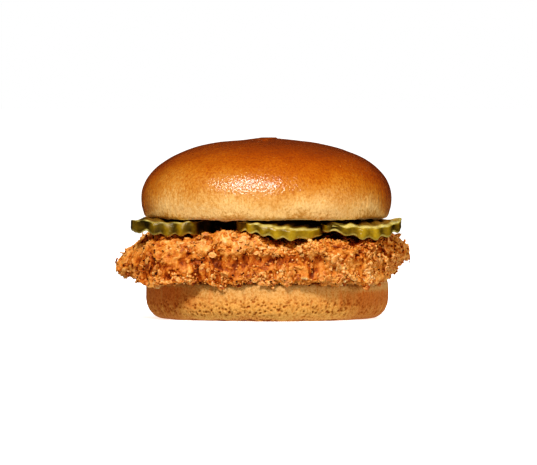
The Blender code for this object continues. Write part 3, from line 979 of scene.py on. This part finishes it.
def curd_piece(name, count, knobs, weight, seed):
    """One piece of popped curds: short bent rows of knobs, with a painted highlight on top and painted shade at
    the foot.
    """
    rng = np.random.default_rng(seed)
    places, normals = pick_spots(rng, weight, count)
    way = unit(np.cross(normals, rng.normal(size=(count, 3))))
    beside = np.cross(normals, way)
    bend = rng.uniform(-0.25, 0.25, (count, 1))
    step = np.arange(knobs)[None] - (knobs - 1) / 2 + rng.uniform(-0.3, 0.3, (count, knobs))
    stride = rng.uniform(0.35, 0.95, (count, 1))
    along, aside = step * stride, bend * step ** 2 + rng.normal(0, 0.35, (count, knobs))
    up = rng.uniform(-0.15, 0.45, (count, knobs)) - CURD_HUG * (along ** 2 + aside ** 2)
    centres = (places[:, None] + way[:, None] * along[..., None] + beside[:, None] * aside[..., None]
               + normals[:, None] * up[..., None]).reshape(-1, 3)
    sizes = (rng.uniform(0.55, 1.0, (count, 1)) * rng.uniform(0.55, 1.1, (count, knobs))).ravel()
    points, faces = lumps(centres, sizes, rng, 1, 0.13)
    corners, _ = lump_shape(1)
    # Knob sides that face outward are painted paler and the foot darker: painted light and shade.
    facing = np.repeat(normals, knobs, axis=0) @ corners.T
    tone = 0.50 + 0.34 * facing + rng.normal(0, 0.10, (count * knobs, 1))
    tone -= 0.8 * np.repeat(fry_stains(places), knobs)[:, None]
    return mesh_piece(name, inside_box(points), faces.tolist(), flake_finish,
                      {"tone": np.clip(tone, 0, 1).ravel()})


curd_share = shown * (0.10 + clumps) * (1 - 0.7 * bare) * (0.18 + 0.82 * np.maximum(right_side, edge))
curd_piece("breading_curds", 416, 6, curd_share, 35)


def crumb_piece(name, count, size_range, finish, weight, tone_range, lift, seed):
    """One piece of joined lumps that sit on the crags."""
    rng = np.random.default_rng(seed)
    places, normals = pick_spots(rng, weight, count)
    sizes = rng.uniform(*size_range, count)
    points, faces = lumps(places + normals * (sizes * lift)[:, None], sizes, rng)
    tone = np.repeat(rng.normal(*tone_range, count) - 0.8 * fry_stains(places), len(points) // count)
    return mesh_piece(name, inside_box(points), faces.tolist(), finish,
                      {"tone": np.clip(tone, 0, 1)})


crumb_piece("breading_crumbs", 2600, (0.25, 0.60), flake_finish, crumb_share, (0.66, 0.16), 0.5, 33)


# %% Pepper
def pepper_finish():
    finish = Finish("cracked_pepper", Roughness=0.6, Specular_IOR_Level=0.3)
    colour = finish.ramp(finish.noise(0.4, 2), [(0.3, from_display(34, 18, 10)),
                                                (0.7, from_display(92, 52, 26))])
    return finish.paint(Base_Color=colour)


crumb_piece("pepper_specks", 420, (0.28, 0.46), pepper_finish(), shown, (0.2, 0.1), 1.4, 34)

# %% [markdown]
# ## The pickles
# A crinkle cutter leaves waves on both faces of a slice, so its rim is a scalloped ribbon of dark
# skin between pale cut edges. The flesh is wet and lets light in, which a little subsurface
# scattering and a clear coat give.

# %% Finish of the pickles
# Darker middle of the top face: the seed bed, and painted shade where the face lies under the crown.
SEED_BED = from_display(112, 82, 24)


def pickle_finish():
    """Wet, slightly clear flesh with warty olive skin and pale cut edges: flesh colour, with a painted highlight
    along the lower edge.
    """
    finish = Finish("pickle", Roughness=0.35, Specular_IOR_Level=0.3, Coat_Weight=0.8,
                    Coat_Roughness=0.12, Subsurface_Weight=0.2,
                    Subsurface_Radius=(1.0, 0.85, 0.2), Subsurface_Scale=0.001)
    tone = finish.shift(finish.trait("tone"), finish.noise(2.2, 3, 0.6), 0.5)
    skin = finish.ramp(tone, [(0.10, from_display(44, 35, 4)), (0.40, from_display(104, 82, 10)),
                              (0.65, from_display(150, 118, 15)), (0.95, from_display(186, 150, 32))])
    flesh = finish.ramp(finish.noise(1.6, 3, 0.6), [(0.3, from_display(206, 182, 86)),
                                                    (0.7, from_display(244, 228, 152))])
    # Seed bed and painted shade under the crown darken the middle of the top face.
    flesh = finish.mix(finish.trait("core"), flesh, SEED_BED)
    colour = finish.mix(finish.trait("flesh"), skin, flesh)
    colour = finish.shade(colour, finish.noise(0.9, 3, 0.7), 0.32, 0.6, (0.82, 0.8, 0.6))
    normal = finish.bump(finish.noise(0.8, 3, 0.65), 0.2)
    wet = finish.bump(finish.noise(0.6, 2, 0.6), 0.24, normal)
    return finish.paint(Base_Color=colour, Normal=normal, Coat_Normal=wet)


pickle_material = pickle_finish()

# %% Shape the pickles
PICKLE_COLUMNS, PICKLE_ROWS = 360, 84
TOP_LEVELLING = 0.5
RIM_SWELL = 0.35


def rim_scallops(grid, rim):
    """How far each half slice's rim sits below its neighbours' average: the crinkle, read at the rim."""
    level = (grid[..., 2] * rim).sum(1) / rim.sum(1)
    return blur(level, 26, 0) - level


def pickle_piece(node, seed, ripeness, shoulder_drop, settle):
    """A crinkle-cut slice: settle moves points before the relief goes on, ripeness is its skin's tone."""
    grid = settle(soften(scan_round(node, PICKLE_COLUMNS, PICKLE_ROWS, 3.2), 1.6, 1.0))
    normals = normals_of(grid)
    edge = np.abs(normals[..., 2])
    rim = ease_between(edge, 0.80, 0.45)
    scallop = rim_scallops(grid, rim)[:, None]
    relief = 0.10 * cloud(grid, 3.4, seed) + 0.05 * cloud(grid, 1.3, seed + 1)
    near, _, _ = grains(grid, 2.1, seed + 2)
    relief += rim * (0.10 * ease_between(near, 0.5, 0.15) + 0.55 * scallop)
    low, high = node_box(node)
    middle, radius = (low + high) / 2, (high[0] - low[0]) / 2
    off_centre = np.hypot(grid[..., 0] - middle[0], grid[..., 1] - middle[1]) / radius
    grid = grid + normals * (relief + 0.10)[..., None]
    upper = ease_between(normals[..., 2], -0.1, 0.5) * ease_between(grid[..., 1], -18, -26)
    shoulder = ease_between(off_centre, 0.80, 0.97) + 1.3 * ease_between(off_centre, 1.02, 1.2)
    grid[..., 2] -= shoulder_drop * shoulder * upper
    grid[..., 2] += TOP_LEVELLING * scallop * ease_between(normals[..., 2], -0.2, 0.5)
    level_top = blur(grid[..., 2], 16, 0) - grid[..., 2]
    grid[..., 2] += TOP_LEVELLING * level_top * ease_between(normals[..., 2], 0.3, 0.7)
    grid[..., 2] += RIM_SWELL * np.clip(normals[..., 2] * 1.6, -1, 1) * ease_between(off_centre, 0.8, 0.95)
    # The lower cut edge takes the pale flesh colour down onto the rim: partly the cut flesh, partly a painted
    # highlight.
    under = ease_between(-normals[..., 2], 0.25, 0.6)
    flesh = ease_between(edge, 0.60, 0.90) + under * rim
    # The rim's lobes are painted lighter and the notches between them darker, as light and shade.
    tone = ripeness + 0.28 * scallop + 0.25 * cloud(grid, 5, seed + 3)
    # Seed bed and painted shade: the top face darkens away from the rim.
    core_share = ease_between(off_centre, 0.92, 0.78) * ease_between(normals[..., 2], 0.3, 0.8)
    traits = {"flesh": np.clip(flesh, 0, 1), "tone": np.clip(tone, 0, 1), "core": core_share}
    piece = skin_piece(node + "_slice", grid, pickle_material, traits)
    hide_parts(node)
    return piece


def sink(points):
    """The left slice droops at its front, onto the breading, and curls up round the crown's rim."""
    reach = np.hypot(points[..., 0], points[..., 1])
    points[..., 2] -= 0.5 * ease_between(points[..., 1], -24, -32) + 0.9 * ease_between(points[..., 0], -48, -54)
    curl = np.exp(-((points[..., 0] + 45.0) / 4.5) ** 2)
    points[..., 2] += 1.4 * curl * ease_between(reach, 43.5, 47.5) * ease_between(points[..., 1], -34, -26)
    squeezed = np.exp(-((points[..., 0] + 30) / 6.0) ** 2) * ease_between(points[..., 1], -18, -32)
    points[..., 1] -= 4.5 * squeezed
    return points


def swing_out(points):
    """The middle slice's right half hangs low over the breading, out in the light."""
    front = ease_between(points[..., 1], -38, -46)
    points[..., 1] -= 0.8 * front
    points[..., 2] -= np.clip(0.08 * (points[..., 0] - 2.0), -0.4, 1.1)
    return points


def hump(points):
    """The right slice's front left edge bulges forward and rides over the middle slice."""
    side = np.exp(-((points[..., 0] - 25.5) / 7.0) ** 2) * ease_between(points[..., 1], -14, -30)
    points[..., 1] -= 9.0 * side
    points[..., 0] -= 2.0 * side
    points[..., 2] += 0.4 * side
    return points


pickle_piece("pickle_left", 60, 0.38, -0.3, sink)
pickle_piece("pickle_centre", 65, 0.60, 0.7, swing_out)
pickle_piece("pickle_right", 70, 0.42, 0.8, hump)

# %% [markdown]
# ## Floor, light and camera
# The burger stands on a white floor that runs into a white backdrop. One soft box above and to the
# left of the camera gives crisp, short shadows, and the white room fills them a little.

# %% Stage
def make_floor():
    mesh = bpy.data.meshes.new("studio_floor")
    half = 12.0
    mesh.from_pydata([(-half, -half, 0), (half, -half, 0), (half, half, 0), (-half, half, 0)], [],
                     [(0, 1, 2, 3)])
    floor = bpy.data.objects.new("studio_floor", mesh)
    bpy.context.scene.collection.objects.link(floor)
    finish = Finish("studio_white", Roughness=0.9, Specular_IOR_Level=0.0)
    white = finish.ramp(finish.noise(60, 2), [(0.0, (0.93, 0.93, 0.93)), (1.0, (0.97, 0.97, 0.97))])
    away = finish.nodes.new("ShaderNodeVectorMath")
    away.operation = "LENGTH"
    finish.links.new(finish.space, away.inputs[0])
    glow = finish.remap(away.outputs["Value"], 0.12, 0.5, 0.70, 0.85)
    mesh.materials.append(finish.paint(Base_Color=white, Emission_Color=(1, 1, 1, 1), Emission_Strength=glow))
    floor.visible_diffuse = False
    floor.visible_glossy = False
    return floor


make_floor()

scene = bpy.context.scene
scene.view_settings.view_transform = "Standard"


def deepen_shadows(toe):
    """A gentle toe in the tone curve, as a photographic print has: x * x / (x + toe)."""
    scene.view_settings.use_curve_mapping = True
    mapping = scene.view_settings.curve_mapping
    curve = mapping.curves[3]
    for level in (0.02, 0.06, 0.14, 0.3, 0.6):
        curve.points.new(level, (1 + toe) * level * level / (level + toe))
    mapping.update()


deepen_shadows(0.05)


def light_room(front, back, bounce):
    """A white room: light from the front and back walls, and light that comes up from the table."""
    world = bpy.data.worlds.new("studio_room")
    world.use_nodes = True
    nodes, links = world.node_tree.nodes, world.node_tree.links

    def blend(value, low, high, at_low, at_high):
        node = nodes.new("ShaderNodeMapRange")
        links.new(value, node.inputs["Value"])
        for socket, number in (("From Min", low), ("From Max", high)):
            node.inputs[socket].default_value = number
        for socket, level in (("To Min", at_low), ("To Max", at_high)):
            if isinstance(level, float):
                node.inputs[socket].default_value = level
            else:
                links.new(level, node.inputs[socket])
        return node.outputs["Result"]

    ways = nodes.new("ShaderNodeSeparateXYZ")
    links.new(nodes.new("ShaderNodeTexCoord").outputs["Generated"], ways.inputs[0])
    walls = blend(ways.outputs["Y"], -0.7, 0.7, front, back)
    fill = blend(ways.outputs["Z"], -0.25, 0.1, bounce, walls)
    path = nodes.new("ShaderNodeLightPath")
    flags = nodes.new("ShaderNodeMath")
    flags.operation = "MULTIPLY"
    links.new(fill, flags.inputs[0])
    links.new(blend(path.outputs["Is Glossy Ray"], 0.0, 1.0, 1.0, 0.08), flags.inputs[1])
    seen = blend(path.outputs["Is Camera Ray"], 0.0, 1.0, flags.outputs["Value"], 1.0)
    links.new(seen, nodes["Background"].inputs["Strength"])
    nodes["Background"].inputs["Color"].default_value = (1, 1, 1, 1)
    scene.world = world


def area_light(name, azimuth, elevation, distance, size, brightness):
    """A square soft box that gives a facing white surface the given display brightness."""
    aim = Vector((0, 0, 0.04))
    turn, rise = math.radians(azimuth), math.radians(elevation)
    way = Vector((math.sin(turn) * math.cos(rise), -math.cos(turn) * math.cos(rise), math.sin(rise)))
    light = bpy.data.lights.new(name, "AREA")
    light.shape = "SQUARE"
    light.size = size
    light.energy = brightness * math.pi ** 2 * distance ** 2
    lamp = bpy.data.objects.new(name, light)
    lamp.location = aim + way * distance
    lamp.rotation_mode = "QUATERNION"
    lamp.rotation_quaternion = (-way).to_track_quat("-Z", "Y")
    scene.collection.objects.link(lamp)
    return lamp


light_room(0.42, 0.32, 0.80)
area_light("key_box", -18, 43, 1.0, 0.25, 1.0)
back_box = area_light("back_box", 165, 18, 1.2, 0.8, 0.40)
fill_box = area_light("fill_box", 60, 4, 1.2, 0.7, 0.42)
back_box.visible_glossy = fill_box.visible_glossy = False

# %% Camera
VIEW_DISTANCE = 3.0
VIEW_RISE = 0.104
AIM = Vector((0.001, 0, 0.0342))
FIELD_WIDTH = 0.2148
SENSOR = 36.0

camera_data = bpy.data.cameras.new("view")
camera_data.sensor_width = SENSOR
camera_data.lens = SENSOR * VIEW_DISTANCE / FIELD_WIDTH
camera_data.clip_start, camera_data.clip_end = 0.1, 60
camera = bpy.data.objects.new("view", camera_data)
camera.location = Vector((AIM.x, -VIEW_DISTANCE, VIEW_RISE))
camera.rotation_mode = "QUATERNION"
camera.rotation_quaternion = (AIM - camera.location).to_track_quat("-Z", "Y")
scene.collection.objects.link(camera)
scene.camera = camera
print("lens:", round(camera_data.lens, 1), "mm")
